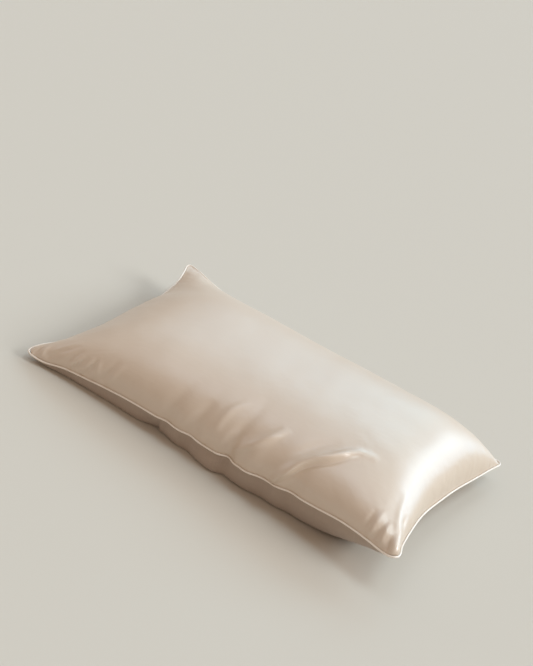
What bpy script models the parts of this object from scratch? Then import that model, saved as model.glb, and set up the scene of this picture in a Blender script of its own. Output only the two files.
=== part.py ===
"""A filled pillowcase with piped edges, lying on its back.

The case is 50 x 75 cm flat. Filled, its four sides draw in between the corners, and the piping round the
seam stands 1 to 7 cm above the surface that the case lies on. +X runs along the length, +Y across it away
from the viewer, +Z up. The origin is under the middle of the case, on that surface.

Every point of the case is worked out from two shares: s runs from -1 at the left end to +1 at the right
end, and t from -1 at the near side to +1 at the far side.
"""

import math
from collections import namedtuple

import bmesh
import bpy
from mathutils import Vector

# The seam line, seen from above: the centre line of the piping.
HALF_LENGTH = 0.357
HALF_WIDTH = 0.233
TIP_RADIUS = 0.016

# How far each side draws in at its middle, and the power of the curve: a high one bends only at the ends.
Side = namedtuple("Side", "drawn_in power")
SIDES = {
    "near": Side(0.020, 4.0),
    "far": Side(0.025, 4.0),
    "left": Side(0.032, 3.6),
    "right": Side(0.023, 2.4),
}

# The height of the seam at each corner.
NEAR_LEFT_Z = 0.014
FAR_LEFT_Z = 0.057
FAR_RIGHT_Z = 0.036
NEAR_RIGHT_Z = 0.068
# The seam sags this far below the line between two corners.
SEAM_SAG = 0.003
SAG_POWER = 4

# Where the seam puckers or lifts between its corners. "at" is the place along the side, in x or y.
Wave = namedtuple("Wave", "at inward lift spread")
WAVES = {
    "near": (
        Wave(at=-0.345, inward=-0.002, lift=0.000, spread=0.030),
        Wave(at=-0.322, inward=0.000, lift=-0.007, spread=0.028),
        Wave(at=-0.160, inward=0.000, lift=0.004, spread=0.080),
        Wave(at=-0.078, inward=0.004, lift=0.000, spread=0.013),
        Wave(at=-0.031, inward=0.004, lift=0.000, spread=0.013),
        Wave(at=0.041, inward=0.009, lift=0.000, spread=0.011),
        Wave(at=0.045, inward=0.000, lift=-0.004, spread=0.060),
        Wave(at=0.084, inward=-0.005, lift=0.000, spread=0.016),
        Wave(at=0.136, inward=-0.003, lift=0.000, spread=0.013),
        Wave(at=0.163, inward=0.003, lift=0.000, spread=0.013),
        Wave(at=0.255, inward=0.000, lift=0.003, spread=0.038),
        Wave(at=0.333, inward=0.000, lift=-0.003, spread=0.022),
    ),
    "far": (
        Wave(at=-0.325, inward=-0.001, lift=0.002, spread=0.030),
        Wave(at=-0.205, inward=0.003, lift=0.001, spread=0.018),
        Wave(at=-0.090, inward=-0.002, lift=-0.001, spread=0.020),
        Wave(at=0.010, inward=0.004, lift=0.000, spread=0.015),
        Wave(at=0.125, inward=0.003, lift=0.001, spread=0.018),
        Wave(at=0.230, inward=-0.002, lift=0.000, spread=0.020),
    ),
    "left": (
        Wave(at=-0.205, inward=-0.001, lift=0.006, spread=0.026),
        Wave(at=-0.150, inward=0.000, lift=0.006, spread=0.050),
        Wave(at=-0.020, inward=0.000, lift=0.001, spread=0.060),
        Wave(at=0.110, inward=0.000, lift=-0.006, spread=0.040),
        Wave(at=0.160, inward=0.002, lift=0.000, spread=0.025),
    ),
    "right": (
        Wave(at=-0.211, inward=-0.003, lift=0.000, spread=0.015),
        Wave(at=-0.070, inward=0.003, lift=0.000, spread=0.060),
        Wave(at=0.130, inward=-0.004, lift=0.000, spread=0.070),
    ),
}
# A wave dies away over the cloth towards the other side of the case, as this power of the way left.
WAVE_FADE = 12

# The crown of the front above the seam. It is fuller towards the right end, which is also blunter, and
# along the diagonal from the near left corner to the far right one.
CROWN = 0.090
CROWN_TILT = 0.13
CROWN_DIAGONAL = 0.26
Slope = namedtuple("Slope", "power edge")
CROWN_LEFT = Slope(power=5.0, edge=0.88)
CROWN_RIGHT = Slope(power=5.7, edge=0.45)
CROWN_NEAR = Slope(power=2.5, edge=0.40)
CROWN_FAR = Slope(power=3.2, edge=1.00)
# The front also stands out over the left seam, most at this distance from it.
LIP = 0.003
LIP_PLACE = 0.010

# The belly of the back below the seam, which the surface flattens.
BELLY = 0.094
BELLY_LEFT = Slope(power=2.9, edge=0.50)
BELLY_RIGHT = Slope(power=3.1, edge=0.84)
BELLY_SIDES = Slope(power=4.7, edge=0.58)
SETTLE = 0.008
# Where the belly's near wall is pinched by the hem, and where it stands out under the seam.
BELLY_WAVES = (
    Wave(at=-0.095, inward=0.010, lift=0.000, spread=0.024),
    Wave(at=0.020, inward=-0.012, lift=0.000, spread=0.040),
)

# The waves of the belly are at their full size from this share of its fullness.
WAVY_BELLY = 0.33

# The back is two pieces. The hem of the flap, at the left end, lies over the edge of the long piece.
HEM_X = -0.090
HEM_STEP = 0.0012
HEM_FADE = 0.030

PIPING_RADIUS = 0.0015
CLOTH_EDGE = 0.001
GAP = 0.0003
# The cloth's edge stops this far inside the piping's centre line. Both run in straight steps, which come
# closer to each other at a pucker than at their corners, so it is more than one gap.
EDGE_INSET = PIPING_RADIUS + 3 * GAP
INSET_POWER = 19
SHARE_STEP = 0.001

# The faces along and across each half, and how strongly they crowd together towards the seam.
COLUMNS = 56
ROWS = 20
COLUMN_CROWDING = 1.4
ROW_CROWDING = 2.0

# The seam's surface closes a half with rings at these shares of the way out from the middle.
RING_SHARES = (1.0, 0.93, 0.75)

SMOOTH_ANGLE = math.radians(50)

COLLECTION = "pillowcase"


def side_curve(share, half, side):
    """The place along a side, and how far the side has come in there from the corners' line."""
    tip = TIP_RADIUS * (1 - math.sqrt(0.5))
    along = (half - tip) * share
    into_tip = max(TIP_RADIUS - (half - abs(along)), 0.0)
    rounding = TIP_RADIUS - math.sqrt(TIP_RADIUS**2 - into_tip**2)
    return along, rounding + side.drawn_in * (1 - abs(share) ** side.power)


def ripple(waves, place):
    """How far a side's waves push the cloth inward and up at a place along that side."""
    inward = 0.0
    lift = 0.0
    for wave in waves:
        strength = math.exp(-(((place - wave.at) / wave.spread) ** 2))
        inward += wave.inward * strength
        lift += wave.lift * strength
    return inward, lift


def seam_point(s, t):
    """A point of the seam's own surface, which spans the four curved sides of the case."""
    u = (s + 1) / 2
    v = (t + 1) / 2
    x_along, near_in = side_curve(s, HALF_LENGTH, SIDES["near"])
    far_in = side_curve(s, HALF_LENGTH, SIDES["far"])[1]
    y_along, left_in = side_curve(t, HALF_WIDTH, SIDES["left"])
    right_in = side_curve(t, HALF_WIDTH, SIDES["right"])[1]
    corner_in = side_curve(1, HALF_LENGTH, SIDES["near"])[1]

    x = x_along + (1 - u) * (left_in - corner_in) - u * (right_in - corner_in)
    y = y_along + (1 - v) * (near_in - corner_in) - v * (far_in - corner_in)
    near_z = NEAR_LEFT_Z + (NEAR_RIGHT_Z - NEAR_LEFT_Z) * u
    far_z = FAR_LEFT_Z + (FAR_RIGHT_Z - FAR_LEFT_Z) * u
    sag = SEAM_SAG * (2 - abs(s) ** SAG_POWER - abs(t) ** SAG_POWER)
    z = near_z + (far_z - near_z) * v - sag

    near_push, near_lift = ripple(WAVES["near"], x_along)
    far_push, far_lift = ripple(WAVES["far"], x_along)
    left_push, left_lift = ripple(WAVES["left"], y_along)
    right_push, right_lift = ripple(WAVES["right"], y_along)
    near_share, far_share = (1 - v) ** WAVE_FADE, v**WAVE_FADE
    left_share, right_share = (1 - u) ** WAVE_FADE, u**WAVE_FADE
    x += left_push * left_share - right_push * right_share
    y += near_push * near_share - far_push * far_share
    z += near_lift * near_share + far_lift * far_share + left_lift * left_share + right_lift * right_share
    return Vector((x, y, z))


def rise(share, slope):
    """1 in the middle of the case and 0 at a side, along the curve of a slope."""
    return (1 - abs(share) ** slope.power) ** slope.edge


def crown(s, t):
    """The height of the front above the seam's surface."""
    along = rise(s, CROWN_LEFT if s < 0 else CROWN_RIGHT) * (1 + CROWN_TILT * s)
    across = rise(t, CROWN_NEAR if t < 0 else CROWN_FAR)
    return CROWN * along * across * (1 + CROWN_DIAGONAL * s * t)


def lip(s, t):
    """How far the front stands out to the left near the left seam."""
    share = (1 + s) * HALF_LENGTH / LIP_PLACE
    return LIP * share * math.exp(1 - share) * (1 - t * t)


def settled(z):
    """A height that eases onto the surface at 0, and is exactly 0 where the case is pressed flat."""
    if z > SETTLE:
        return z
    return max(z + SETTLE, 0.0) ** 2 / (4 * SETTLE)


def cloth_point(s, t):
    """A point of the seam's surface, drawn in near the seam to leave room for the piping."""
    along_s = seam_point(s + SHARE_STEP, t) - seam_point(s - SHARE_STEP, t)
    along_t = seam_point(s, t + SHARE_STEP) - seam_point(s, t - SHARE_STEP)
    out_s = Vector((along_t.y, -along_t.x, 0)).normalized()
    out_t = Vector((-along_s.y, along_s.x, 0)).normalized()
    out = out_s * s * abs(s) ** INSET_POWER + out_t * t * abs(t) ** INSET_POWER
    return seam_point(s, t) - out * EDGE_INSET


def front_skin(s, t):
    point = cloth_point(s, t)
    point.x -= lip(s, t)
    point.z += GAP / 2 + CLOTH_EDGE + crown(s, t)
    return point


def belly(s, t):
    """1 under the middle of the case and 0 at the seam."""
    return rise(s, BELLY_LEFT if s < 0 else BELLY_RIGHT) * rise(t, BELLY_SIDES)


def flap_skin(s, t):
    point = cloth_point(s, t)
    fullness = belly(s, t)
    push = ripple(BELLY_WAVES, point.x)[0]
    point.y += push * ((1 - t) / 2) ** WAVE_FADE * min(fullness / WAVY_BELLY, 1)
    point.z = settled(point.z - GAP / 2 - CLOTH_EDGE - BELLY * fullness)
    return point


def back_skin(s, t):
    """As the flap, but lifted by the thickness of the hem that lies under it."""
    point = flap_skin(s, t)
    point.z += HEM_STEP * belly(s, t) * math.exp(-(((point.x - HEM_X) / HEM_FADE) ** 2))
    return point


def crowded(share, crowding):
    return math.copysign(1 - (1 - abs(share)) ** crowding, share)


def grid_share(place):
    """The shares s and t of a corner of the square grid."""
    return crowded(place.x, COLUMN_CROWDING), crowded(place.y, ROW_CROWDING)


def half_case(skin, side):
    """One filled half: its skin, the cloth's edge, and the seam's surface, which closes it.

    side is 1 for the half above the seam and -1 for the half below it.
    """
    bm = bmesh.new()
    bmesh.ops.create_grid(bm, x_segments=COLUMNS, y_segments=ROWS, size=1.0)
    skin_verts = bm.verts[:]
    rings = []
    for _ in RING_SHARES:
        rim = [edge for edge in bm.edges if edge.is_boundary]
        added = bmesh.ops.extrude_edge_only(bm, edges=rim)["geom"]
        rings.append([item for item in added if isinstance(item, bmesh.types.BMVert)])
    last_rim = [edge for edge in bm.edges if edge.is_boundary]
    closing = bmesh.ops.contextual_create(bm, geom=last_rim)["faces"]

    for vert in skin_verts:
        vert.co = skin(*grid_share(vert.co))
    for ring, share in zip(rings, RING_SHARES):
        for vert in ring:
            s, t = grid_share(vert.co)
            vert.co = cloth_point(s * share, t * share)
            vert.co.z += side * GAP / 2
    bmesh.ops.poke(bm, faces=closing)
    return bm


def cut_at_hem(bm, keep):
    """Keep one end of a half, with a flat face half a gap from the hem's line. keep is -1 for the left."""
    geometry = bm.verts[:] + bm.edges[:] + bm.faces[:]
    plane = (HEM_X + keep * GAP / 2, 0, 0)
    bmesh.ops.bisect_plane(bm, geom=geometry, plane_co=plane, plane_no=(keep, 0, 0), clear_inner=True)
    open_edges = [edge for edge in bm.edges if edge.is_boundary]
    bmesh.ops.contextual_create(bm, geom=open_edges)


def add_object(bm, name, material):
    bmesh.ops.recalc_face_normals(bm, faces=bm.faces[:])
    mesh = bpy.data.meshes.new(name)
    bm.to_mesh(mesh)
    bm.free()
    mesh.shade_smooth()
    mesh.set_sharp_from_angle(angle=SMOOTH_ANGLE)
    mesh.materials.append(material)
    panel = bpy.data.objects.new(name, mesh)
    bpy.data.collections[COLLECTION].objects.link(panel)


def seam_loop():
    """The shares of the points round the seam, the same as those of the panels' edges."""
    columns = [crowded(2 * i / COLUMNS - 1, COLUMN_CROWDING) for i in range(COLUMNS)]
    rows = [crowded(2 * i / ROWS - 1, ROW_CROWDING) for i in range(ROWS)]
    near = [(s, -1) for s in columns]
    right = [(1, t) for t in rows]
    far = [(-s, 1) for s in columns]
    left = [(-1, -t) for t in rows]
    return near + right + far + left


def add_piping(material):
    """A closed cord round the seam, with a point beside each point of the panels' edges."""
    curve = bpy.data.curves.new("piping", "CURVE")
    curve.dimensions = "3D"
    curve.bevel_depth = PIPING_RADIUS
    curve.bevel_resolution = 2
    curve.twist_mode = "Z_UP"
    loop = seam_loop()
    spline = curve.splines.new("POLY")
    spline.points.add(len(loop) - 1)
    for point, (s, t) in zip(spline.points, loop):
        point.co = (*seam_point(s, t), 1)
    spline.use_cyclic_u = True
    curve.materials.append(material)
    piping = bpy.data.objects.new("piping", curve)
    bpy.data.collections[COLLECTION].objects.link(piping)


def cloth(name, colour, roughness):
    material = bpy.data.materials.new(name)
    material.use_nodes = True
    shader = material.node_tree.nodes["Principled BSDF"]
    shader.inputs["Base Color"].default_value = (*colour, 1)
    shader.inputs["Roughness"].default_value = roughness
    shader.inputs["Metallic"].default_value = 0
    return material


def main():
    for old in bpy.data.objects[:]:
        bpy.data.objects.remove(old)
    collection = bpy.data.collections.new(COLLECTION)
    bpy.context.scene.collection.children.link(collection)

    satin = cloth("champagne_satin", (0.62, 0.53, 0.44), 0.35)
    plain = cloth("plain_back_cloth", (0.47, 0.39, 0.32), 0.85)
    bias = cloth("satin_piping", (0.74, 0.65, 0.56), 0.30)

    add_object(half_case(front_skin, side=1), "front_panel", satin)

    back = half_case(back_skin, side=-1)
    cut_at_hem(back, keep=1)
    add_object(back, "back_panel", plain)

    flap = half_case(flap_skin, side=-1)
    cut_at_hem(flap, keep=-1)
    add_object(flap, "back_flap", plain)

    add_piping(bias)


main()
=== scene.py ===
"""The looks of a filled satin pillowcase: its fine surfaces, folds, stitching, cloths, light and camera.

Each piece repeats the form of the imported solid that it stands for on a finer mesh, and adds the folds,
puckers, hems and stitches that the solid leaves out. Lengths are metres. Every point of the case is worked
out from two shares: s runs from -1 at the left end to +1 at the right end, and t from -1 at the near side
to +1 at the far side.
"""

import math
from collections import namedtuple

import bmesh
import bpy
import numpy as np
from mathutils import Matrix, Vector, noise


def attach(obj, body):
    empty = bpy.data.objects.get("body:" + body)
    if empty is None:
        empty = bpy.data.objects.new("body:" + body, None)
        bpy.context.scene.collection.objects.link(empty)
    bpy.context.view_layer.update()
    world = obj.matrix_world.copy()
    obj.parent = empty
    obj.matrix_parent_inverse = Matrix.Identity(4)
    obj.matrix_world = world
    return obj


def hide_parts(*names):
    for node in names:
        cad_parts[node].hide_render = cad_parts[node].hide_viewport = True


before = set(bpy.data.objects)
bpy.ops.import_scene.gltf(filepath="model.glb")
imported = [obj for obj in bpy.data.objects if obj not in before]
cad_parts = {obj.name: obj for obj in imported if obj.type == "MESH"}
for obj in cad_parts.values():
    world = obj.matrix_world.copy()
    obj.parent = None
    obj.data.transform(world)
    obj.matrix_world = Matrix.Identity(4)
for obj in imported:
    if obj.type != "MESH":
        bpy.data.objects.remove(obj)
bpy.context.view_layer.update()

# --- The form of the case, as in its solids ---

HALF_LENGTH = 0.357
HALF_WIDTH = 0.233
TIP_RADIUS = 0.016

# How far each side has come in at its middle, and the power of the curve that it follows.
Side = namedtuple("Side", "drawn_in power")
SIDES = {
    "near": Side(0.020, 4.0),
    "far": Side(0.025, 4.0),
    "left": Side(0.032, 3.6),
    "right": Side(0.023, 2.4),
}

# The height of the seam at each corner, and how far it sags between them.
NEAR_LEFT_Z = 0.014
FAR_LEFT_Z = 0.057
FAR_RIGHT_Z = 0.036
NEAR_RIGHT_Z = 0.068
SEAM_SAG = 0.003
SAG_POWER = 4

# Where the seam puckers or lifts between its corners. A wave moves it inward and up at one place along its
# side, in x or y, and dies away over its spread.
Wave = namedtuple("Wave", "at spread inward lift", defaults=(0.0, 0.0))
WAVES = {
    "near": (
        Wave(-0.345, 0.030, inward=-0.002),
        Wave(-0.322, 0.028, lift=-0.007),
        Wave(-0.160, 0.080, lift=0.004),
        Wave(-0.078, 0.013, inward=0.004),
        Wave(-0.031, 0.013, inward=0.004),
        Wave(0.041, 0.011, inward=0.009),
        Wave(0.045, 0.060, lift=-0.004),
        Wave(0.084, 0.016, inward=-0.005),
        Wave(0.136, 0.013, inward=-0.003),
        Wave(0.163, 0.013, inward=0.003),
        Wave(0.255, 0.038, lift=0.003),
        Wave(0.333, 0.022, lift=-0.003),
    ),
    "far": (
        Wave(-0.325, 0.030, inward=-0.001, lift=0.002),
        Wave(-0.205, 0.018, inward=0.003, lift=0.001),
        Wave(-0.090, 0.020, inward=-0.002, lift=-0.001),
        Wave(0.010, 0.015, inward=0.004),
        Wave(0.125, 0.018, inward=0.003, lift=0.001),
        Wave(0.230, 0.020, inward=-0.002),
    ),
    "left": (
        Wave(-0.205, 0.026, inward=-0.001, lift=0.006),
        Wave(-0.150, 0.050, lift=0.006),
        Wave(-0.020, 0.060, lift=0.001),
        Wave(0.110, 0.040, lift=-0.006),
        Wave(0.160, 0.025, inward=0.002),
    ),
    "right": (
        Wave(-0.211, 0.015, inward=-0.003),
        Wave(-0.070, 0.060, inward=0.003),
        Wave(0.130, 0.070, inward=-0.004),
    ),
}
# The power of the share by which a side's waves fade across the case.
WAVE_FADE = 12

# How high the front's crown stands above the seam's surface, how much fuller it is to the right and towards
# two opposite corners, and how it slopes down to each side. A slope's first power shapes its top, and its
# second one its foot.
CROWN = 0.090
CROWN_TILT = 0.13
CROWN_DIAGONAL = 0.26
Slope = namedtuple("Slope", "power edge")
CROWN_LEFT = Slope(power=5.0, edge=0.88)
CROWN_RIGHT = Slope(power=5.7, edge=0.45)
CROWN_NEAR = Slope(power=2.5, edge=0.40)
CROWN_FAR = Slope(power=3.2, edge=1.00)
# How far the front stands out over the left seam at the most, and how far in from the seam that is.
LIP = 0.003
LIP_PLACE = 0.010

# How deep the back is below the seam's surface, how it slopes up to each side, and the height from which it
# eases onto the floor.
BELLY = 0.094
BELLY_LEFT = Slope(power=2.9, edge=0.50)
BELLY_RIGHT = Slope(power=3.1, edge=0.84)
BELLY_SIDES = Slope(power=4.7, edge=0.58)
SETTLE = 0.008
# Where the back's near wall is pushed in or out, and the fullness at which that is at its full strength.
BELLY_WAVES = (
    Wave(-0.095, 0.024, inward=0.010),
    Wave(0.020, 0.040, inward=-0.012),
)
WAVY_BELLY = 0.33

# The line of the flap's edge, how far the long piece is drawn up beside it, and over what distance.
HEM_X = -0.090
HEM_STEP = 0.0012
HEM_FADE = 0.030

# The cord in the seam, the height of the cloth's edge above and under the gap between the two halves, and
# how near the cloth comes to the cord.
PIPING_RADIUS = 0.0015
CLOTH_EDGE = 0.0006
GAP = 0.0003
CORD_CLEARANCE = 0.0002
EDGE_INSET = PIPING_RADIUS + CORD_CLEARANCE
# The power of the share by which the inset fades, and the step that directions are read over.
INSET_POWER = 19
SHARE_STEP = 0.001

# --- Folds ---

# A soft ridge over the cloth, or a trough where its height is negative. "left" and "right" are the widths of
# its two flanks, seen along its path. Each place of the path is an x, a distance from the near seam over the
# cloth, and how strong the fold is there.
Fold = namedtuple("Fold", "height left right path")
MAIN_FOLDS = (
    # The main fold, which starts at the near seam, runs up and to the right, and fades on the crown; the
    # crease under it; and the shallow dip behind it.
    Fold(0.0105, 0.0095, 0.0048, (
        (0.132, 0.006, 0.4), (0.144, 0.028, 0.9), (0.156, 0.047, 1.0), (0.170, 0.062, 1.0),
        (0.185, 0.078, 0.95), (0.197, 0.095, 0.75), (0.205, 0.108, 0.5), (0.215, 0.119, 0.35),
        (0.232, 0.125, 0.15), (0.246, 0.125, 0.0),
    )),
    Fold(-0.0036, 0.0024, 0.0040, (
        (0.139, 0.006, 0.2), (0.149, 0.024, 0.8), (0.161, 0.043, 1.0), (0.175, 0.058, 1.0),
        (0.190, 0.073, 0.8), (0.202, 0.090, 0.4), (0.210, 0.102, 0.0),
    )),
    Fold(-0.0018, 0.0100, 0.0080, (
        (0.128, 0.050, 0.3), (0.140, 0.065, 0.8), (0.157, 0.087, 1.0), (0.172, 0.107, 0.6),
        (0.184, 0.120, 0.0),
    )),
    # The second fold and its dip.
    Fold(0.0046, 0.0085, 0.0065, (
        (0.039, 0.006, 0.3), (0.059, 0.027, 0.7), (0.074, 0.043, 0.95), (0.088, 0.063, 1.0),
        (0.098, 0.080, 0.55), (0.106, 0.094, 0.0),
    )),
    Fold(-0.0015, 0.0080, 0.0070, (
        (0.036, 0.030, 0.6), (0.057, 0.055, 1.0), (0.082, 0.084, 0.6), (0.094, 0.096, 0.0),
    )),
    # The third fold, its dip, and a small pucker at the seam between them.
    Fold(0.0030, 0.0080, 0.0080, (
        (0.003, 0.018, 0.3), (0.005, 0.037, 0.9), (0.006, 0.055, 1.0), (0.009, 0.074, 0.8),
        (0.017, 0.092, 0.4), (0.024, 0.108, 0.0),
    )),
    Fold(-0.0020, 0.0090, 0.0090, (
        (-0.023, 0.008, 0.5), (-0.024, 0.019, 1.0), (-0.023, 0.054, 0.8), (-0.018, 0.070, 0.0),
    )),
    Fold(0.0018, 0.0040, 0.0040, (
        (-0.008, 0.001, 0.6), (-0.004, 0.004, 1.0), (0.001, 0.012, 0.7), (0.006, 0.022, 0.0),
    )),
)
# The puckers at the near left corner.
NEAR_LEFT_FOLDS = (
    Fold(-0.0026, 0.0030, 0.0030, (
        (-0.341, 0.003, 0.6), (-0.339, 0.010, 1.0), (-0.337, 0.018, 0.8), (-0.332, 0.030, 0.0),
    )),
    Fold(0.0022, 0.0035, 0.0035, ((-0.328, 0.010, 0.7), (-0.328, 0.018, 1.0), (-0.324, 0.032, 0.0))),
    Fold(-0.0019, 0.0040, 0.0040, (
        (-0.316, 0.010, 0.6), (-0.303, 0.025, 1.0), (-0.287, 0.035, 0.9), (-0.275, 0.050, 0.0),
    )),
    Fold(0.0016, 0.0040, 0.0040, (
        (-0.314, 0.018, 0.6), (-0.303, 0.032, 1.0), (-0.290, 0.045, 0.8), (-0.279, 0.058, 0.0),
    )),
    Fold(-0.0022, 0.0040, 0.0040, (
        (-0.281, 0.012, 0.5), (-0.278, 0.020, 1.0), (-0.271, 0.031, 0.8), (-0.262, 0.044, 0.0),
    )),
    Fold(0.0024, 0.0040, 0.0040, (
        (-0.273, 0.004, 0.6), (-0.270, 0.012, 1.0), (-0.266, 0.022, 0.8), (-0.258, 0.036, 0.0),
    )),
    Fold(-0.0021, 0.0040, 0.0040, (
        (-0.265, 0.006, 0.6), (-0.261, 0.014, 1.0), (-0.256, 0.024, 0.7), (-0.249, 0.036, 0.0),
    )),
    Fold(0.0024, 0.0040, 0.0040, (
        (-0.247, 0.006, 0.6), (-0.246, 0.015, 1.0), (-0.244, 0.026, 0.6), (-0.240, 0.040, 0.0),
    )),
    Fold(-0.0021, 0.0040, 0.0040, (
        (-0.243, 0.008, 0.5), (-0.238, 0.020, 1.0), (-0.232, 0.035, 0.7), (-0.225, 0.048, 0.0),
    )),
    Fold(0.0022, 0.0050, 0.0050, (
        (-0.224, 0.010, 0.6), (-0.225, 0.022, 1.0), (-0.229, 0.034, 0.8), (-0.231, 0.048, 0.0),
    )),
    Fold(-0.0021, 0.0050, 0.0050, (
        (-0.212, 0.010, 0.6), (-0.208, 0.024, 1.0), (-0.203, 0.040, 0.7), (-0.197, 0.055, 0.0),
    )),
    Fold(0.0022, 0.0050, 0.0050, (
        (-0.198, 0.010, 0.6), (-0.195, 0.024, 1.0), (-0.191, 0.036, 0.6), (-0.185, 0.050, 0.0),
    )),
)
# The puckers at the near right corner, after the ridge that runs down into it.
NEAR_RIGHT_FOLDS = (
    Fold(0.0030, 0.0070, 0.0065, (
        (0.305, 0.120, 0.0), (0.312, 0.100, 0.3), (0.322, 0.068, 0.7), (0.331, 0.050, 1.0),
        (0.340, 0.038, 1.0), (0.345, 0.022, 0.8), (0.348, 0.008, 0.4),
    )),
    Fold(-0.0028, 0.0045, 0.0045, (
        (0.316, 0.050, 0.0), (0.3145, 0.030, 0.7), (0.313, 0.017, 1.0), (0.311, 0.004, 0.8),
    )),
    Fold(0.0018, 0.0045, 0.0045, (
        (0.304, 0.060, 0.0), (0.303, 0.040, 0.7), (0.303, 0.020, 1.0), (0.302, 0.006, 0.6),
    )),
    Fold(-0.0016, 0.0045, 0.0045, (
        (0.292, 0.050, 0.0), (0.2925, 0.032, 1.0), (0.293, 0.018, 1.0), (0.293, 0.004, 0.6),
    )),
    Fold(0.0018, 0.0040, 0.0040, (
        (0.320, 0.045, 0.0), (0.322, 0.030, 0.8), (0.324, 0.016, 1.0), (0.325, 0.004, 0.6),
    )),
    Fold(-0.0030, 0.0040, 0.0040, ((0.333, 0.030, 0.0), (0.3355, 0.016, 1.0), (0.337, 0.006, 0.8))),
    Fold(-0.0018, 0.0040, 0.0040, (
        (0.328, 0.085, 0.0), (0.334, 0.067, 1.0), (0.341, 0.055, 0.5), (0.346, 0.045, 0.0),
    )),
)
FRONT_FOLDS = MAIN_FOLDS + NEAR_LEFT_FOLDS + NEAR_RIGHT_FOLDS
# How softly a path's places are found on the cloth, the points of a path between two of its places, and how
# many of its widths a fold reaches to each side.
PATH_BLUR = 0.002
PATH_STEPS = 12
FOLD_REACH = 3

# --- Gathers and unevenness ---

# Small gathers, where cloth is eased into a seam. Each one leans along the side as it runs into the cloth,
# by its lean times how far in it is, and fades over its reach.
Gather = namedtuple("Gather", "side pitch lean reach height seed")
FRONT_GATHERS = (
    Gather("near", pitch=0.0110, lean=0.36, reach=0.026, height=0.00045, seed=11),
    Gather("far", pitch=0.0130, lean=0.10, reach=0.030, height=0.00050, seed=12),
    Gather("left", pitch=0.0120, lean=-0.15, reach=0.028, height=0.00045, seed=13),
    Gather("right", pitch=0.0120, lean=0.10, reach=0.030, height=0.00050, seed=14),
)
BACK_GATHERS = (
    Gather("near", pitch=0.0130, lean=0.20, reach=0.020, height=0.00040, seed=21),
    Gather("far", pitch=0.0140, lean=-0.10, reach=0.022, height=0.00050, seed=22),
    Gather("left", pitch=0.0140, lean=0.10, reach=0.020, height=0.00050, seed=23),
    Gather("right", pitch=0.0140, lean=0.00, reach=0.022, height=0.00050, seed=24),
)
# Where the gathers bunch up and stand higher.
Bunch = namedtuple("Bunch", "side at spread height")
BUNCHES = (
    Bunch("near", at=-0.300, spread=0.050, height=0.0006),
    Bunch("near", at=-0.050, spread=0.060, height=0.0005),
    Bunch("near", at=0.060, spread=0.040, height=0.0004),
    Bunch("near", at=0.310, spread=0.030, height=0.0006),
    Bunch("left", at=-0.200, spread=0.040, height=0.0006),
    Bunch("left", at=0.170, spread=0.050, height=0.0006),
    Bunch("far", at=-0.310, spread=0.050, height=0.0007),
    Bunch("far", at=0.300, spread=0.050, height=0.0008),
    Bunch("right", at=0.160, spread=0.050, height=0.0008),
    Bunch("right", at=-0.170, spread=0.040, height=0.0006),
)
# How far gathers drift along their side and the pitch of that drift, both in pitches of the gathers, and
# what is added to their seeds for it.
GATHER_DRIFT = 0.45
DRIFT_PITCH = 2.7
DRIFT_SEED = 100
# Folds and gathers fade out towards the seam over this distance.
SEAM_CALM = 0.004

# Soft unevenness of the filling under the cloth.
Uneven = namedtuple("Uneven", "size height")
UNEVEN = (Uneven(0.085, 0.0010), Uneven(0.030, 0.0003))

# --- Hem, stitches and piping ---

# The flap's wall stands further in than the long piece's where the hem meets the near seam.
NICK = 0.007
NICK_SPREAD = 0.030

# The hem of the flap is a double fold of cloth. Behind it the single cloth lies higher by the rise, which
# starts softly and fades away.
HEM_WIDTH = 0.020
HEM_RISE = 0.0006
HEM_SOFTNESS = 0.004
RISE_FADE = 3 * HEM_WIDTH

# The row of stitches along the hem: how far it runs, how finely and in how many tries it is worked out, and
# the step that its normals are read over. All but the counts are shares.
ROW_END = 0.985
ROW_POINTS = 700
ROW_TRIES = 5
ROW_STEP = 0.004
# One stitch: its sizes, the places of its rings, the faces round it, how much thinner it gets towards its
# ends, how many of its radii they dip into the cloth, and how far ahead its direction is read.
STITCH_PITCH = 0.0034
STITCH_LENGTH = 0.0026
STITCH_RADIUS = 0.00028
STITCH_PLACES = (-1.0, -0.75, -0.3, 0.3, 0.75, 1.0)
STITCH_FACES = 6
STITCH_TAPER = 0.8
STITCH_DIP = 1.2
STITCH_LOOK_AHEAD = 0.001

# The piping: its fineness, how uneven its radius is, and over what distance.
PIPING_STEPS = 1400
PIPING_FACES = 14
PIPING_UNEVEN = 0.00008
PIPING_LUMP = 0.007
# The points along each side of the seam, before they are evened out.
SIDE_POINTS = 400

# --- Meshes and simulated cloth ---

# The fineness of the meshes, how strongly their faces crowd together towards the seam, the rings that lead
# inward from the cloth's edge, and the angle from which an edge is sharp.
FRONT_COLUMNS = 380
FRONT_ROWS = 230
BACK_COLUMNS = 300
BACK_ROWS = 150
COLUMN_CROWDING = 1.4
ROW_CROWDING = 2.0
RING_SHARES = (1.0, 0.93, 0.75)
SHARP_ANGLE = math.radians(60)

# The simulated cloth: its fineness, the steps of its weights, and for how many frames it moves.
CLOTH_COLUMNS = 150
CLOTH_ROWS = 100
WEIGHT_STEPS = 20
CLOTH_FRAMES = 20
# How much longer than the form it is at the seams and in the middle, as shares, and how far in from the
# seams it gets as taut as in the middle.
SEAM_SLACK = 0.016
MIDDLE_SLACK = 0.001
SLACK_REACH = 0.070
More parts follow.
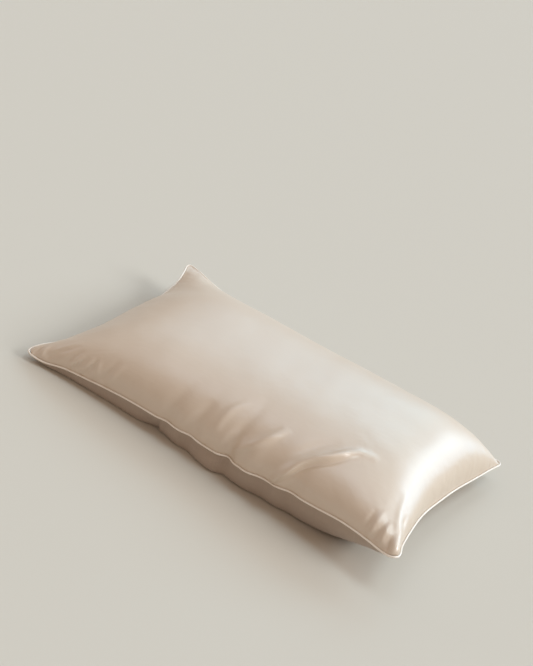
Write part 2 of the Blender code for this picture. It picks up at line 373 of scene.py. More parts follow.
# It is held by its group "seam", pressed out by its filling, and as taut as its group "taut" says.
CLOTH_SETTINGS = {
    "quality": 6,
    "mass": 0.15,
    "air_damping": 2.0,
    "tension_stiffness": 30,
    "compression_stiffness": 30,
    "shear_stiffness": 8,
    "bending_stiffness": 0.3,
    "use_pressure": True,
    "uniform_pressure_force": 4.0,
    "vertex_group_mass": "seam",
    "vertex_group_shrink": "taut",
    "shrink_min": -SEAM_SLACK,
    "shrink_max": -MIDDLE_SLACK,
}
# How much smoothing leaves only its broad swelling, how much of its wrinkles is kept, and how far they may
# stand from the form.
BROAD_STEPS = 30
WRINKLE_SHARE = 0.14
WRINKLE_CAP = 0.0009
# The place, in x and y, where the filling is so firm that the cloth has no fine wrinkles, and its spread.
FIRM_SPOT = (0.285, -0.150)
FIRM_SPREAD = 0.075

# --- The form, from the two shares ---


def side_curve(share, half, side):
    """The place along a side, and how far the side has come in there from the corners' line."""
    tip = TIP_RADIUS * (1 - math.sqrt(0.5))
    along = (half - tip) * share
    into_tip = np.maximum(TIP_RADIUS - (half - np.abs(along)), 0)
    rounding = TIP_RADIUS - np.sqrt(TIP_RADIUS**2 - into_tip**2)
    return along, rounding + side.drawn_in * (1 - np.abs(share) ** side.power)


def ripple(waves, place):
    """How far a side's waves push the cloth inward and up at a place along that side."""
    inward = np.zeros_like(place)
    lift = np.zeros_like(place)
    for wave in waves:
        strength = np.exp(-(((place - wave.at) / wave.spread) ** 2))
        inward += wave.inward * strength
        lift += wave.lift * strength
    return inward, lift


def seam_point(s, t):
    """Points of the seam's own surface, which spans the four curved sides of the case."""
    u = (s + 1) / 2
    v = (t + 1) / 2
    x_along, near_in = side_curve(s, HALF_LENGTH, SIDES["near"])
    far_in = side_curve(s, HALF_LENGTH, SIDES["far"])[1]
    y_along, left_in = side_curve(t, HALF_WIDTH, SIDES["left"])
    right_in = side_curve(t, HALF_WIDTH, SIDES["right"])[1]
    corner_in = side_curve(np.float64(1), HALF_LENGTH, SIDES["near"])[1]

    x = x_along + (1 - u) * (left_in - corner_in) - u * (right_in - corner_in)
    y = y_along + (1 - v) * (near_in - corner_in) - v * (far_in - corner_in)
    near_z = NEAR_LEFT_Z + (NEAR_RIGHT_Z - NEAR_LEFT_Z) * u
    far_z = FAR_LEFT_Z + (FAR_RIGHT_Z - FAR_LEFT_Z) * u
    sag = SEAM_SAG * (2 - np.abs(s) ** SAG_POWER - np.abs(t) ** SAG_POWER)
    z = near_z + (far_z - near_z) * v - sag

    sides = {"near": (x_along, 1 - v), "far": (x_along, v), "left": (y_along, 1 - u), "right": (y_along, u)}
    push = {}
    for side, (place, share) in sides.items():
        strength = np.maximum(share, 0) ** WAVE_FADE
        inward, lift = ripple(WAVES[side], place)
        push[side] = inward * strength
        z = z + lift * strength
    x = x + push["left"] - push["right"]
    y = y + push["near"] - push["far"]
    return np.stack((x, y, z), -1)


def unit(vectors):
    """Vectors of the same directions and length 1."""
    return vectors / np.linalg.norm(vectors, axis=-1, keepdims=True)


def cloth_point(s, t):
    """Points of the seam's surface, drawn in near the seam to leave room for the piping."""
    along_s = seam_point(s + SHARE_STEP, t) - seam_point(s - SHARE_STEP, t)
    along_t = seam_point(s, t + SHARE_STEP) - seam_point(s, t - SHARE_STEP)
    level = np.zeros_like(s)
    out_s = unit(np.stack((along_t[..., 1], -along_t[..., 0], level), -1))
    out_t = unit(np.stack((-along_s[..., 1], along_s[..., 0], level), -1))
    out_s = out_s * (s * np.abs(s) ** INSET_POWER)[..., None]
    out_t = out_t * (t * np.abs(t) ** INSET_POWER)[..., None]
    return seam_point(s, t) - (out_s + out_t) * EDGE_INSET


def rise(share, slope):
    """1 in the middle of the case and 0 at a side, along the curve of a slope."""
    return (1 - np.minimum(np.abs(share), 1) ** slope.power) ** slope.edge


def crown(s, t):
    """The height of the front above the seam's surface."""
    along = np.where(s < 0, rise(s, CROWN_LEFT), rise(s, CROWN_RIGHT)) * (1 + CROWN_TILT * s)
    across = np.where(t < 0, rise(t, CROWN_NEAR), rise(t, CROWN_FAR))
    return CROWN * along * across * (1 + CROWN_DIAGONAL * s * t)


def lip(s, t):
    """How far the front stands out to the left near the left seam."""
    share = (1 + s) * HALF_LENGTH / LIP_PLACE
    return LIP * share * np.exp(1 - share) * (1 - t * t)


def belly(s, t):
    """1 under the middle of the case and 0 at the seam."""
    return np.where(s < 0, rise(s, BELLY_LEFT), rise(s, BELLY_RIGHT)) * rise(t, BELLY_SIDES)


def settled(z):
    """Heights that ease onto the floor at 0, and are exactly 0 where the case is pressed flat."""
    return np.where(z > SETTLE, z, np.maximum(z + SETTLE, 0) ** 2 / (4 * SETTLE))


def grid_normals(points):
    """The upward normals of a grid of points."""
    return unit(np.cross(np.gradient(points, axis=0), np.gradient(points, axis=1)))


def seam_distances(points):
    """How far each point of a grid is from the four seams, measured over the cloth."""
    along = np.linalg.norm(np.diff(points, axis=0), axis=-1)
    across = np.linalg.norm(np.diff(points, axis=1), axis=-1)
    left = np.vstack((np.zeros_like(along[:1]), np.cumsum(along, axis=0)))
    near = np.hstack((np.zeros_like(across[:, :1]), np.cumsum(across, axis=1)))
    return {"left": left, "right": left[-1:] - left, "near": near, "far": near[:, -1:] - near}


def ease(share):
    """A share from 0 to 1 with a soft start and end."""
    share = np.clip(share, 0, 1)
    return share * share * (3 - 2 * share)


def on_curve(before, start, end, after, f):
    """The point at a share f from start to end, on a smooth curve through them and their neighbours."""
    bend = before * 2 - start * 5 + end * 4 - after
    twist = start * 3 - before - end * 3 + after
    return (start * 2 + (end - before) * f + bend * f**2 + twist * f**3) / 2


def run_along(line):
    """How far along a line each of its points is."""
    return np.concatenate(((0,), np.cumsum(np.linalg.norm(np.diff(line, axis=0), axis=1))))


def read_at(stops, run, values):
    """Values that are given at a line's points, read off at any distances along it."""
    return np.stack([np.interp(stops, run, values[:, axis]) for axis in range(3)], -1)


# --- Wrinkles from a simulated cloth ---


def softened(values, steps):
    """A grid of numbers with its fine detail smoothed away."""
    for _ in range(steps):
        long = np.pad(values, ((1, 1), (0, 0)), mode="edge")
        values = (long[:-2] + 2 * values + long[2:]) / 4
        wide = np.pad(values, ((0, 0), (1, 1)), mode="edge")
        values = (wide[:, :-2] + 2 * values + wide[:, 2:]) / 4
    return values


def drawn_out(values, count, axis):
    """A grid of numbers, resampled along one axis to a number of points on smooth curves."""
    values = np.moveaxis(values, axis, 0)
    last = len(values) - 1
    position = np.linspace(0, last, count)
    start_index = np.minimum(position.astype(int), last - 1)
    before = values[np.maximum(start_index - 1, 0)]
    after = values[np.minimum(start_index + 2, last)]
    f = (position - start_index)[:, None]
    drawn = on_curve(before, values[start_index], values[start_index + 1], after, f)
    return np.moveaxis(drawn, 0, axis)


def weigh(cloth, name, weights):
    """A vertex group with a weight for every point, rounded to even steps."""
    group = cloth.vertex_groups.new(name=name)
    steps = np.round(weights.ravel() * WEIGHT_STEPS).astype(int)
    for step in np.unique(steps):
        group.add(np.nonzero(steps == step)[0].tolist(), float(step) / WEIGHT_STEPS, "REPLACE")


def pressed_out(points):
    """Where a cloth that is a little longer than the form ends up when its filling presses it out."""
    columns, rows = points.shape[:2]
    index = np.arange(columns * rows).reshape(columns, rows)
    faces = np.stack((index[:-1, :-1], index[1:, :-1], index[1:, 1:], index[:-1, 1:]), -1).reshape(-1, 4)
    mesh = bpy.data.meshes.new("slack_cloth")
    mesh.from_pydata(points.reshape(-1, 3).tolist(), [], faces.tolist())
    cloth = bpy.data.objects.new("slack_cloth", mesh)
    scene = bpy.context.scene
    scene.collection.objects.link(cloth)

    nearest = np.minimum.reduce(list(seam_distances(points).values()))
    weigh(cloth, "seam", (nearest == 0).astype(float))
    weigh(cloth, "taut", ease(nearest / SLACK_REACH))
    modifier = cloth.modifiers.new("cloth", "CLOTH")
    for name, value in CLOTH_SETTINGS.items():
        setattr(modifier.settings, name, value)
    modifier.settings.effector_weights.gravity = 0
    modifier.collision_settings.use_collision = False
    modifier.point_cache.frame_start = 1
    modifier.point_cache.frame_end = CLOTH_FRAMES
    for step in range(1, CLOTH_FRAMES + 1):
        scene.frame_set(step)
    result = cloth.evaluated_get(bpy.context.evaluated_depsgraph_get())
    moved = np.empty(columns * rows * 3, dtype=np.float32)
    result.data.vertices.foreach_get("co", moved)
    scene.frame_set(1)
    bpy.data.objects.remove(cloth)
    bpy.data.meshes.remove(mesh)
    return moved.reshape(columns, rows, 3).astype(float)


def wrinkles(skin, columns, rows):
    """The heights of a simulated cloth's wrinkles over a form, without its broad swelling."""
    s, t = share_grid(CLOTH_COLUMNS, CLOTH_ROWS)
    points = skin(s, t)
    height = ((pressed_out(points) - points) * grid_normals(points)).sum(-1)
    height = height - softened(height, BROAD_STEPS)
    height = WRINKLE_CAP * np.tanh(WRINKLE_SHARE * height / WRINKLE_CAP)
    from_firm = np.linalg.norm(points[..., :2] - FIRM_SPOT, axis=-1)
    height = height * (1 - np.exp(-((from_firm / FIRM_SPREAD) ** 2)))
    return drawn_out(drawn_out(height, columns + 1, 0), rows + 1, 1)


# --- Folds, gathers and unevenness ---


def smooth_path(knots):
    """Points along a smooth curve through knots."""
    knots = [2 * knots[0] - knots[1]] + knots + [2 * knots[-1] - knots[-2]]
    curve = []
    for before, start, end, after in zip(knots, knots[1:], knots[2:], knots[3:]):
        for step in range(PATH_STEPS):
            curve.append(on_curve(before, start, end, after, step / PATH_STEPS))
    curve.append(knots[-2])
    return np.array(curve)


def path_over_cloth(path, points, away):
    """A fold's path as points in space, each with the fold's strength as its fourth number."""
    knots = []
    for x, distance, strength in path:
        gap = (points[..., 0] - x) ** 2 + (away - distance) ** 2
        weight = np.exp((gap.min() - gap) / PATH_BLUR**2)[..., None]
        spot = (points * weight).sum((0, 1)) / weight.sum()
        knots.append(Vector((*spot, strength)))
    return smooth_path(knots)


def fold_height(fold, points, normals, away):
    """The height of a fold at the points of a grid."""
    line = path_over_cloth(fold.path, points, away)
    reach = FOLD_REACH * max(fold.left, fold.right)
    low = line[:, :3].min(0) - reach
    high = line[:, :3].max(0) + reach
    near = ((points > low) & (points < high)).all(-1)
    places = points[near]
    facing = normals[near]

    best = np.full(len(places), np.inf)
    offset = np.zeros(len(places))
    strength = np.zeros(len(places))
    for start, end in zip(line, line[1:]):
        step = end[:3] - start[:3]
        relative = places - start[:3]
        along = np.clip(relative @ step / (step @ step), 0, 1)
        distance = np.linalg.norm(relative - along[:, None] * step, axis=-1)
        side = np.sign((np.cross(step, relative) * facing).sum(-1))
        closer = distance < best
        best = np.where(closer, distance, best)
        offset = np.where(closer, distance * side, offset)
        strength = np.where(closer, start[3] + along * (end[3] - start[3]), strength)
    width = np.where(offset > 0, fold.left, fold.right)

    height = np.zeros(points.shape[:2])
    height[near] = fold.height * strength * np.exp(-((offset / width) ** 2))
    return height


def wavering(place, pitch, seed):
    """A smooth random curve between -1 and +1 that turns about once in every pitch."""
    values = np.random.default_rng(seed).uniform(-1, 1, int(2 / pitch) + 4)
    position = (place + 1) / pitch
    index = np.floor(position).astype(int)
    return values[index] + (values[index + 1] - values[index]) * ease(position - index)


def gather_height(gather, points, apart):
    """The height of the gathers that start at one seam."""
    away = apart[gather.side]
    run = points[..., 0 if gather.side in ("near", "far") else 1] - gather.lean * away
    height = gather.height + sum(
        bunch.height * np.exp(-(((run - bunch.at) / bunch.spread) ** 2))
        for bunch in BUNCHES
        if bunch.side == gather.side
    )
    wander = wavering(run, DRIFT_PITCH * gather.pitch, gather.seed + DRIFT_SEED)
    drift = GATHER_DRIFT * gather.pitch * wander
    return height * wavering(run + drift, gather.pitch, gather.seed) * np.exp(-away / gather.reach)


def uneven_height(points):
    """The soft unevenness of the filling."""
    height = np.zeros(points.shape[:2])
    for bump in UNEVEN:
        spots = points.reshape(-1, 3) / bump.size
        rough = np.array([noise.noise(spot) for spot in spots.tolist()])
        height += bump.height * rough.reshape(height.shape)
    return height


def dressed(points, folds, gathers, extra):
    """The points of a grid, moved along their normals by folds, gathers, unevenness and extra heights."""
    apart = seam_distances(points)
    normals = grid_normals(points)
    height = extra + uneven_height(points)
    for fold in folds:
        height = height + fold_height(fold, points, normals, apart["near"])
    for gather in gathers:
        height = height + gather_height(gather, points, apart)
    calm = ease(np.minimum.reduce(list(apart.values())) / SEAM_CALM)
    return points + normals * (height * calm)[..., None]


def front_form(s, t):
    """The form of the front, without any folds."""
    points = cloth_point(s, t)
    points[..., 0] -= lip(s, t)
    points[..., 2] += GAP / 2 + CLOTH_EDGE + crown(s, t)
    return points


def front_skin(s, t):
    """The front with all its folds, gathers and wrinkles."""
    points = front_form(s, t)
    extra = wrinkles(front_form, points.shape[0] - 1, points.shape[1] - 1)
    return dressed(points, FRONT_FOLDS, FRONT_GATHERS, extra)


def back_form(s, t, nick):
    """The form of the back, with its near wall pushed in by nick where the hem crosses it."""
    points = cloth_point(s, t)
    fullness = belly(s, t)
    x = points[..., 0]
    push = ripple(BELLY_WAVES, x)[0] + nick * np.exp(-(((x - HEM_X) / NICK_SPREAD) ** 2))
    points[..., 1] += push * ((1 - t) / 2) ** WAVE_FADE * np.minimum(fullness / WAVY_BELLY, 1)
    points[..., 2] = settled(points[..., 2] - GAP / 2 - CLOTH_EDGE - BELLY * fullness)
    return points


def on_floor(form):
    """A back's form with its gathers, which fade out where it is pressed flat."""
    moved = dressed(form, (), BACK_GATHERS, 0.0)
    free = ease(form[..., 2] / SETTLE)[..., None]
    points = form + (moved - form) * free
    points[..., 2] = np.maximum(points[..., 2], 0)
    return points


def flap_skin(s, t):
    """The short flap with the double fold of its hem."""
    points = on_floor(back_form(s, t, NICK))
    behind_edge = HEM_X - points[..., 0]
    single = ease((behind_edge - HEM_WIDTH) / HEM_SOFTNESS)
    points[..., 2] += HEM_RISE * single * belly(s, t) * np.exp(-((behind_edge / RISE_FADE) ** 2))
    return points


def back_skin(s, t):
    """The long piece, drawn up a little where it goes in under the flap."""
    points = on_floor(back_form(s, t, -NICK / 2))
    points[..., 2] += HEM_STEP * belly(s, t) * np.exp(-(((points[..., 0] - HEM_X) / HEM_FADE) ** 2))
    return points


# --- Meshes ---


def crowded(count, crowding):
    """Shares from -1 to +1 that crowd together towards both ends."""
    even = np.linspace(-1, 1, count + 1)
    return np.copysign(1 - (1 - np.abs(even)) ** crowding, even)


def share_grid(columns, rows):
    """The shares s and t of a grid's points."""
    return np.meshgrid(crowded(columns, COLUMN_CROWDING), crowded(rows, ROW_CROWDING), indexing="ij")


def half_case(skin, side, columns, rows):
    """One filled half as a closed mesh: its skin, the cloth's edge, and the surface of the seam under it."""
    s, t = share_grid(columns, rows)
    points = skin(s, t)
    apart = seam_distances(points)
    flat_x = (apart["left"] - apart["right"]) / 2
    flat_y = (apart["near"] - apart["far"]) / 2
    bm = bmesh.new()
    bmesh.ops.create_grid(bm, x_segments=columns, y_segments=rows, size=1.0)
    place = bm.verts.layers.float_vector.new("share")
    flat = bm.verts.layers.float_vector.new("flat")
    for vert in bm.verts:
        i = round((vert.co.x + 1) / 2 * columns)
        j = round((vert.co.y + 1) / 2 * rows)
        vert[place] = (s[i, j], t[i, j], 0)
        vert[flat] = (flat_x[i, j], flat_y[i, j], 0)
        vert.co = points[i, j]

    for ring_share in RING_SHARES:
        rim = [edge for edge in bm.edges if edge.is_boundary]
        outer = list(dict.fromkeys(vert for edge in rim for vert in edge.verts))
        shares = np.array([vert[place] for vert in outer]) * ring_share
        spots = cloth_point(shares[:, 0], shares[:, 1])
        inner = {vert: bm.verts.new(spot, vert) for vert, spot in zip(outer, spots)}
        for vert in inner.values():
            vert.co.z += side * GAP / 2
        for edge in rim:
            start, end = edge.verts
            bm.faces.new((start, end, inner[end], inner[start]))
    last_rim = [edge for edge in bm.edges if edge.is_boundary]
    closing = bmesh.ops.contextual_create(bm, geom=last_rim)["faces"]
    bmesh.ops.poke(bm, faces=closing)
    return bm


def add_cloth_uv(bm):
    """A UV map in metres, measured over the cloth along its length and its width."""
    flat = bm.verts.layers.float_vector["flat"]
    uv = bm.loops.layers.uv.new("cloth")
    for face in bm.faces:
        for loop in face.loops:
            loop[uv].uv = loop.vert[flat].xy


def add_piece(bm, name, material, node):
    """One finished piece, which takes the place of a solid where a node is named."""
    bmesh.ops.recalc_face_normals(bm, faces=bm.faces[:])
    mesh = bpy.data.meshes.new(name)
    bm.to_mesh(mesh)
    bm.free()
    mesh.shade_smooth()
    mesh.set_sharp_from_angle(angle=SHARP_ANGLE)
    mesh.materials.append(material)
    piece = bpy.data.objects.new(name, mesh)
    bpy.context.scene.collection.objects.link(piece)
    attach(piece, "root")
    if node:
        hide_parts(node)


def cut_at_hem(bm, keep):
    """Keep one end of a half, with a flat face half a gap from the hem's line. keep is -1 for the left."""
    geometry = bm.verts[:] + bm.edges[:] + bm.faces[:]
    plane = (HEM_X + keep * GAP / 2, 0, 0)
    bmesh.ops.bisect_plane(bm, geom=geometry, plane_co=plane, plane_no=(keep, 0, 0), clear_inner=True)
    open_edges = [edge for edge in bm.edges if edge.is_boundary]
    bmesh.ops.contextual_create(bm, geom=open_edges)


def seam_line(count):
    """Points at even steps round the seam, and how long the seam is."""
    share = np.linspace(-1, 1, SIDE_POINTS, endpoint=False)
    edge = np.ones(SIDE_POINTS)
    s = np.concatenate((share, edge, -share, -edge))
    t = np.concatenate((-edge, share, edge, -share))
    loop = seam_point(s, t)
    closed = np.vstack((loop, loop[:1]))
    run = run_along(closed)
    stops = np.linspace(0, run[-1], count, endpoint=False)
    return read_at(stops, run, closed), run[-1]


def ring_round(bm, centre, side, up, radius, count):
    """New vertices in a circle round a centre, from its side over its top."""
    ring = []
    for number in range(count):
        angle = 2 * math.pi * number / count
        ring.append(bm.verts.new(centre + (side * math.cos(angle) + up * math.sin(angle)) * radius))
    return ring


def add_piping(material):
    """A bias strip wrapped round a cord, as a closed tube along the seam."""
    line, length = seam_line(PIPING_STEPS)
    ahead = unit(np.roll(line, -1, axis=0) - np.roll(line, 1, axis=0))
    side = unit(np.cross(ahead, (0.0, 0.0, 1.0)))
    up = np.cross(side, ahead)
    bm = bmesh.new()
    uv = bm.loops.layers.uv.new("cloth")
    rings = []
    for i in range(PIPING_STEPS):
        radius = PIPING_RADIUS + PIPING_UNEVEN * noise.noise(Vector(line[i]) / PIPING_LUMP)
        rings.append(ring_round(bm, line[i], side[i], up[i], radius, PIPING_FACES))
    step = length / PIPING_STEPS
    around = 2 * math.pi * PIPING_RADIUS / PIPING_FACES
    for i in range(PIPING_STEPS):
        for j in range(PIPING_FACES):
            i2 = (i + 1) % PIPING_STEPS
            j2 = (j + 1) % PIPING_FACES
            face = bm.faces.new((rings[i][j], rings[i2][j], rings[i2][j2], rings[i][j2]))
            corners = ((i, j), (i + 1, j), (i + 1, j + 1), (i, j + 1))
            for loop, (along, about) in zip(face.loops, corners):
                loop[uv].uv = (along * step, about * around)
    add_piece(bm, "satin_piping", material, "piping")


# --- Materials ---

CHAMPAGNE = (0.655, 0.545, 0.437)
BROWN = (0.44, 0.355, 0.29)
PALE_CHAMPAGNE = (0.88, 0.81, 0.73)
CREAM = (0.66, 0.60, 0.52)
# The pitches of the plain weave, of the twill that shows in it, of the bias satin's threads, and of the ply
# of a sewing thread.
WEAVE_PITCH = 0.0007
TWILL_PITCH = 0.0032
BIAS_PITCH = 0.0005
PLY_PITCH = 0.00025


class Nodes:
    """Adds and links the nodes of one material."""

    def __init__(self, name):
        self.material = bpy.data.materials.new(name)
        self.material.use_nodes = True
        self.tree = self.material.node_tree
        self.shader = self.tree.nodes["Principled BSDF"]

    def add(self, kind, settings=None, **inputs):
        """A node of a kind, with its settings, and its inputs by their names."""
        node = self.tree.nodes.new(kind)
        for name, value in (settings or {}).items():
            setattr(node, name, value)
        for name, value in inputs.items():
            self.put(node.inputs[name.replace("_", " ")], value)
        return node

    def put(self, socket, value):
        """Link an output to a socket, or give it a value of its own."""
        if isinstance(value, bpy.types.NodeSocket):
            self.tree.links.new(value, socket)
        else:
            socket.default_value = value

    def set(self, **inputs):
        """Set the shader's own sockets."""
        for name, value in inputs.items():
            self.put(self.shader.inputs[name.replace("_", " ")], value)

    def stretched(self, across_x, across_y, turn=0.0):
        """The cloth's UV map for features of a size along it and one across it, turned by an angle."""
        uv = self.add("ShaderNodeUVMap", {"uv_map": "cloth"})
        turned = self.add("ShaderNodeMapping", Vector=uv.outputs["UV"], Rotation=(0, 0, turn))
        scale = (1 / across_x, 1 / across_y, 1)
        return self.add("ShaderNodeMapping", Vector=turned.outputs["Vector"], Scale=scale).outputs["Vector"]

    def cloudy(self, vector, detail=2.0):
        """A noise from 0 to 1 with features of about one unit."""
        return self.add("ShaderNodeTexNoise", Vector=vector, Scale=1.0, Detail=detail).outputs["Fac"]

    def bands(self, vector, direction="X"):
        """Waves from 0 to 1, one in each unit of the vector."""
        settings = {"wave_type": "BANDS", "bands_direction": direction}
        return self.add("ShaderNodeTexWave", settings, Vector=vector, Scale=math.pi / 10).outputs["Fac"]

    def between(self, low, high, share):
        """A number between low and high, by a share from 0 to 1."""
        return self.add("ShaderNodeMapRange", Value=share, To_Min=low, To_Max=high).outputs["Result"]

    def mix(self, kind, share, first, second):
        """A colour ("RGBA") or a number ("FLOAT") between two others, by a share from 0 to 1."""
        node = self.add("ShaderNodeMix", {"data_type": kind})
        in_use = [socket for socket in node.inputs if socket.enabled]
        for socket, value in zip(in_use, (share, first, second)):
            self.put(socket, value)
        return next(socket for socket in node.outputs if socket.enabled)

    def blend(self, share, first, second):
        """A colour between two colours."""
        return self.mix("RGBA", share, first, second)

    def bump(self, height, strength, distance, normal=None):
        """Normals that follow a relief of heights from 0 to 1 times a distance, on top of other normals."""
        node = self.add("ShaderNodeBump", Height=height, Strength=strength, Distance=distance)
        if normal is not None:
            self.put(node.inputs["Normal"], normal)
        return node.outputs["Normal"]


def shade(colour, factor):
    """A colour made darker or lighter by a factor, with its alpha."""
    return (*(channel * factor for channel in colour), 1)


def satin(name, colour, roughness):
    """A smooth cloth with long floats of thread along its length, and a broad, slightly drawn-out gloss."""
    nodes = Nodes(name)
    mottling = nodes.cloudy(nodes.stretched(0.110, 0.070))
    streaks = nodes.cloudy(nodes.stretched(0.120, 0.0016), detail=3.0)
    mottled = nodes.blend(mottling, shade(colour, 0.95), shade(colour, 1.05))
    streaked = nodes.blend(streaks, shade(colour, 0.93), shade(colour, 1.07))
    nodes.set(Base_Color=nodes.blend(0.5, mottled, streaked))
    nodes.set(Roughness=nodes.between(roughness - 0.04, roughness + 0.04, streaks))
    nodes.set(IOR=2.0, Specular_IOR_Level=0.72, Sheen_Weight=0.05, Sheen_Roughness=0.4)
    nodes.set(Anisotropic=0.3, Anisotropic_Rotation=0.25)
    tangent = nodes.add("ShaderNodeTangent", {"direction_type": "UV_MAP", "uv_map": "cloth"})
    nodes.set(Tangent=tangent.outputs["Tangent"])

    crumple = nodes.cloudy(nodes.stretched(0.016, 0.009), detail=3.0)
    rumpled = nodes.bump(crumple, strength=0.22, distance=0.0008)
    floats = nodes.add(
        "ShaderNodeTexBrick", {"offset": 0.4, "offset_frequency": 1}, Vector=nodes.stretched(0.001, 0.001),
        Scale=1.0, Mortar_Size=0.05, Mortar_Smooth=1.0, Brick_Width=1.9, Row_Height=0.34,
    ).outputs["Fac"]
    raised = nodes.between(1.0, 0.0, floats)
    nodes.set(Normal=nodes.bump(raised, strength=0.10, distance=0.00008, normal=rumpled))
    return nodes.material


def plain_cloth(name, colour):
    """A matte plain weave with uneven threads."""
    nodes = Nodes(name)
    threads = nodes.stretched(WEAVE_PITCH, WEAVE_PITCH)
    over = nodes.add("ShaderNodeTexChecker", Vector=threads, Scale=1.0).outputs["Fac"]
    weave = nodes.mix("FLOAT", over, nodes.bands(threads), nodes.bands(threads, "Y"))
    long_slubs = nodes.cloudy(nodes.stretched(0.030, 0.0019), detail=4.0)
    cross_slubs = nodes.cloudy(nodes.stretched(0.0019, 0.024), detail=4.0)
    twill = nodes.bands(nodes.stretched(TWILL_PITCH, TWILL_PITCH, math.radians(50)))
    along = nodes.blend(long_slubs, shade(colour, 0.68), shade(colour, 1.32))
    across = nodes.blend(cross_slubs, shade(colour, 0.68), shade(colour, 1.32))
    crossed = nodes.blend(0.5, along, across)
    ribbed = nodes.blend(twill, shade(colour, 0.90), shade(colour, 1.08))
    woven = nodes.blend(weave, shade(colour, 0.88), shade(colour, 1.10))
    nodes.set(Base_Color=nodes.blend(0.35, crossed, nodes.blend(0.5, ribbed, woven)))
    nodes.set(Roughness=nodes.between(0.82, 0.96, long_slubs))
    nodes.set(Sheen_Weight=0.25, Sheen_Roughness=0.5)
    crumple = nodes.cloudy(nodes.stretched(0.014, 0.012), detail=3.0)
    rumpled = nodes.bump(crumple, strength=0.25, distance=0.0010)
    nodes.set(Normal=nodes.bump(weave, strength=0.5, distance=0.00015, normal=rumpled))
    return nodes.material


def bias_satin(name, colour, roughness):
    """Satin cut on the bias, whose threads run slantwise round the cord."""
    nodes = Nodes(name)
    threads = nodes.bands(nodes.stretched(BIAS_PITCH, BIAS_PITCH, math.radians(45)))
    patches = nodes.cloudy(nodes.stretched(0.012, 0.004))
    nodes.set(Base_Color=nodes.blend(patches, shade(colour, 0.93), shade(colour, 1.06)))
    nodes.set(Roughness=nodes.between(roughness - 0.04, roughness + 0.06, patches))
    nodes.set(IOR=1.7, Sheen_Weight=0.15, Sheen_Roughness=0.4)
    puckers = nodes.cloudy(nodes.stretched(0.0022, 0.0060))
    puckered = nodes.bump(puckers, strength=0.3, distance=0.0004)
    nodes.set(Normal=nodes.bump(threads, strength=0.25, distance=0.00006, normal=puckered))
    return nodes.material


def twisted_thread(name, colour):
    """A sewing thread whose ply shows as slanting stripes."""
    nodes = Nodes(name)
    place = nodes.add("ShaderNodeTexCoord").outputs["Object"]
    turned = nodes.add("ShaderNodeMapping", Vector=place, Rotation=(0, 0, 0.7), Scale=(1 / PLY_PITCH,) * 3)
    ply = nodes.bands(turned.outputs["Vector"])
    nodes.set(Base_Color=nodes.blend(ply, shade(colour, 0.8), shade(colour, 1.1)))
    nodes.set(Roughness=nodes.between(0.45, 0.6, ply))
    return nodes.material


# --- Stitches ---


def hem_row():
    """Points along the row of stitches that holds the flap's hem, and the normals of the cloth there."""
    t = np.linspace(-ROW_END, ROW_END, ROW_POINTS)
    s = np.zeros_like(t)
    # Each try brings the row nearer to the straight line where the double fold ends.
    for _ in range(ROW_TRIES):
        s = s + (HEM_X - HEM_WIDTH - back_form(s, t, NICK)[:, 0]) / HALF_LENGTH
    strip = back_form(np.stack((s - ROW_STEP, s, s + ROW_STEP)), np.stack((t, t, t)), NICK)
    return strip[1], grid_normals(strip)[1]


def add_stitch(bm, centre, run, line, normals):
    """A short thread along the line, thinner at its ends, where it dips into the cloth."""
    rings = []
    for place in STITCH_PLACES:
        stop = centre + place * STITCH_LENGTH / 2
        spot = Vector(read_at(stop, run, line))
        up = Vector(read_at(stop, run, normals)).normalized()
        ahead = Vector(read_at(stop + STITCH_LOOK_AHEAD, run, line)) - spot
        sideways = ahead.cross(up).normalized()
        radius = STITCH_RADIUS * math.sqrt(1 - STITCH_TAPER * place**2)
        dip = up * (STITCH_RADIUS * STITCH_DIP * place**2)
        rings.append(ring_round(bm, spot + dip, sideways, up, radius, STITCH_FACES))
    for first, second in zip(rings, rings[1:]):
        for j in range(STITCH_FACES):
            bm.faces.new((first[j], first[j - 1], second[j - 1], second[j]))
    bm.faces.new(rings[0])
    bm.faces.new(reversed(rings[-1]))


def add_stitches(material):
    """The row of stitches along the flap's hem."""
    line, normals = hem_row()
    run = run_along(line)
    bm = bmesh.new()
    for number in range(int(run[-1] / STITCH_PITCH)):
        add_stitch(bm, (number + 0.5) * STITCH_PITCH, run, line, normals)
    add_piece(bm, "hem_stitches", material, None)


# --- Floor, lights and camera ---

FLOOR_COLOUR = (0.595, 0.562, 0.500)
FLOOR_SIZE = 60.0
# The warm light that the walls of a bright room throw back.
WORLD_COLOUR = (1.0, 0.76, 0.59)
WORLD_STRENGTH = 0.46

# The room's cool daylight, as broad lights from far away. Each one's azimuth is measured from the near side
# round to the right, in degrees like its elevation, and its colour says how strong it is too.
Light = namedtuple("Light", "name azimuth elevation colour")
LIGHTS = (
    Light("right_middle", 108, 30, (1.44, 1.51, 1.54)),
    Light("right_back", 142, 32, (0.27, 0.28, 0.28)),
    Light("back_middle", 160, 30, (0.35, 0.52, 0.65)),
    Light("right_high", 120, 70, (0.50, 0.61, 0.66)),
    Light("back_left", 190, 30, (0.19, 0.33, 0.41)),
    Light("back_low", 150, 10, (0.17, 0.31, 0.43)),
    Light("left_high", 240, 70, (0.12, 0.16, 0.20)),
    Light("left_back", 210, 30, (0.07, 0.12, 0.16)),
    Light("left_low", 262, 20, (0.08, 0.09, 0.10)),
    Light("front", 23, 28, (0.06, 0.07, 0.08)),
)
LIGHT_WIDTH = 24.0
LIGHT_DISTANCE = 3.0

# The camera, as it was fitted to the outline of the case in the photo. Its angles are in degrees.
CAMERA_AZIMUTH = 22.77
CAMERA_ELEVATION = 27.94
CAMERA_DISTANCE = 2.413
CAMERA_ROLL = 19.97
CAMERA_AIM = (-0.1272, 0.1714, 0.05)
FOCAL_PIXELS = 1305.4
IMAGE_HEIGHT = 666
SENSOR = 36.0


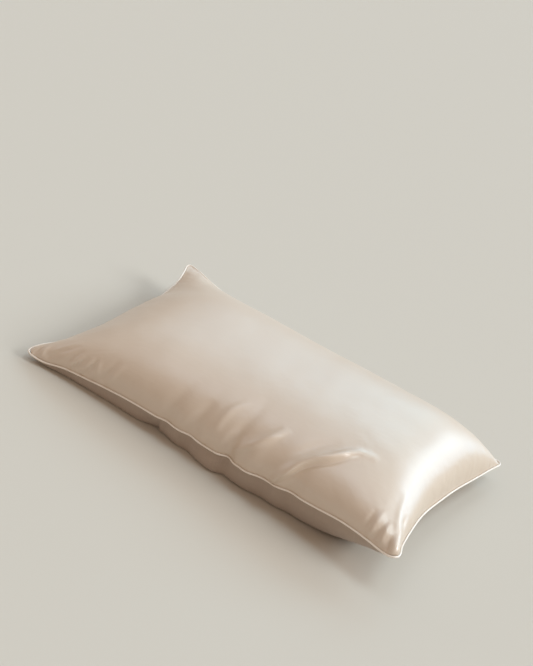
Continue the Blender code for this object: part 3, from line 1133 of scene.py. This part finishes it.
def towards(azimuth, elevation):
    """The direction to a place seen at that azimuth, from -Y round to +X, and elevation."""
    a, e = math.radians(azimuth), math.radians(elevation)
    return Vector((math.sin(a) * math.cos(e), -math.cos(a) * math.cos(e), math.sin(e)))


def add_floor():
    """A large matte floor at height 0."""
    bm = bmesh.new()
    bmesh.ops.create_grid(bm, x_segments=1, y_segments=1, size=FLOOR_SIZE / 2)
    mesh = bpy.data.meshes.new("floor")
    bm.to_mesh(mesh)
    bm.free()
    nodes = Nodes("floor")
    nodes.set(Base_Color=(*FLOOR_COLOUR, 1), Roughness=0.95)
    mesh.materials.append(nodes.material)
    floor = bpy.data.objects.new("floor", mesh)
    bpy.context.scene.collection.objects.link(floor)


def add_lights():
    """The light of the room."""
    world = bpy.data.worlds.new("studio")
    world.use_nodes = True
    background = world.node_tree.nodes["Background"]
    background.inputs["Color"].default_value = (*WORLD_COLOUR, 1)
    background.inputs["Strength"].default_value = WORLD_STRENGTH
    bpy.context.scene.world = world
    for light in LIGHTS:
        sun = bpy.data.lights.new(light.name, "SUN")
        sun.angle = math.radians(LIGHT_WIDTH)
        sun.energy = max(light.colour)
        sun.color = [channel / sun.energy for channel in light.colour]
        holder = bpy.data.objects.new(light.name, sun)
        direction = towards(light.azimuth, light.elevation)
        holder.location = direction * LIGHT_DISTANCE
        holder.rotation_mode = "QUATERNION"
        holder.rotation_quaternion = direction.to_track_quat("Z", "Y")
        bpy.context.scene.collection.objects.link(holder)


def add_camera():
    """The camera that looks at the case as the photo does."""
    back = towards(CAMERA_AZIMUTH, CAMERA_ELEVATION)
    level = Vector((0, 0, 1)).cross(back).normalized()
    upright = back.cross(level)
    roll = math.radians(CAMERA_ROLL)
    right = level * math.cos(roll) + upright * math.sin(roll)
    up = upright * math.cos(roll) - level * math.sin(roll)
    turn = Matrix((right, up, back)).transposed().to_4x4()
    data = bpy.data.cameras.new("camera")
    data.sensor_fit = "VERTICAL"
    data.sensor_height = SENSOR
    data.sensor_width = SENSOR
    data.lens = FOCAL_PIXELS / IMAGE_HEIGHT * SENSOR
    camera = bpy.data.objects.new("camera", data)
    camera.matrix_world = Matrix.Translation(Vector(CAMERA_AIM) + back * CAMERA_DISTANCE) @ turn
    bpy.context.scene.collection.objects.link(camera)
    bpy.context.scene.camera = camera


# --- The whole scene ---


def add_case():
    """All the pieces of the case."""
    champagne = satin("champagne_satin", CHAMPAGNE, roughness=0.40)
    plain = plain_cloth("plain_back_cloth", BROWN)
    pale = bias_satin("bias_satin", PALE_CHAMPAGNE, roughness=0.34)
    cream = twisted_thread("cream_thread", CREAM)

    front = half_case(front_skin, 1, FRONT_COLUMNS, FRONT_ROWS)
    add_cloth_uv(front)
    add_piece(front, "satin_front", champagne, "front_panel")

    back = half_case(back_skin, -1, BACK_COLUMNS, BACK_ROWS)
    add_cloth_uv(back)
    cut_at_hem(back, keep=1)
    add_piece(back, "long_back", plain, "back_panel")

    flap = half_case(flap_skin, -1, BACK_COLUMNS, BACK_ROWS)
    add_cloth_uv(flap)
    cut_at_hem(flap, keep=-1)
    add_piece(flap, "short_flap", plain, "back_flap")

    add_stitches(cream)
    add_piping(pale)


bpy.context.scene.view_settings.view_transform = "Standard"
add_camera()
add_floor()
add_lights()
add_case()
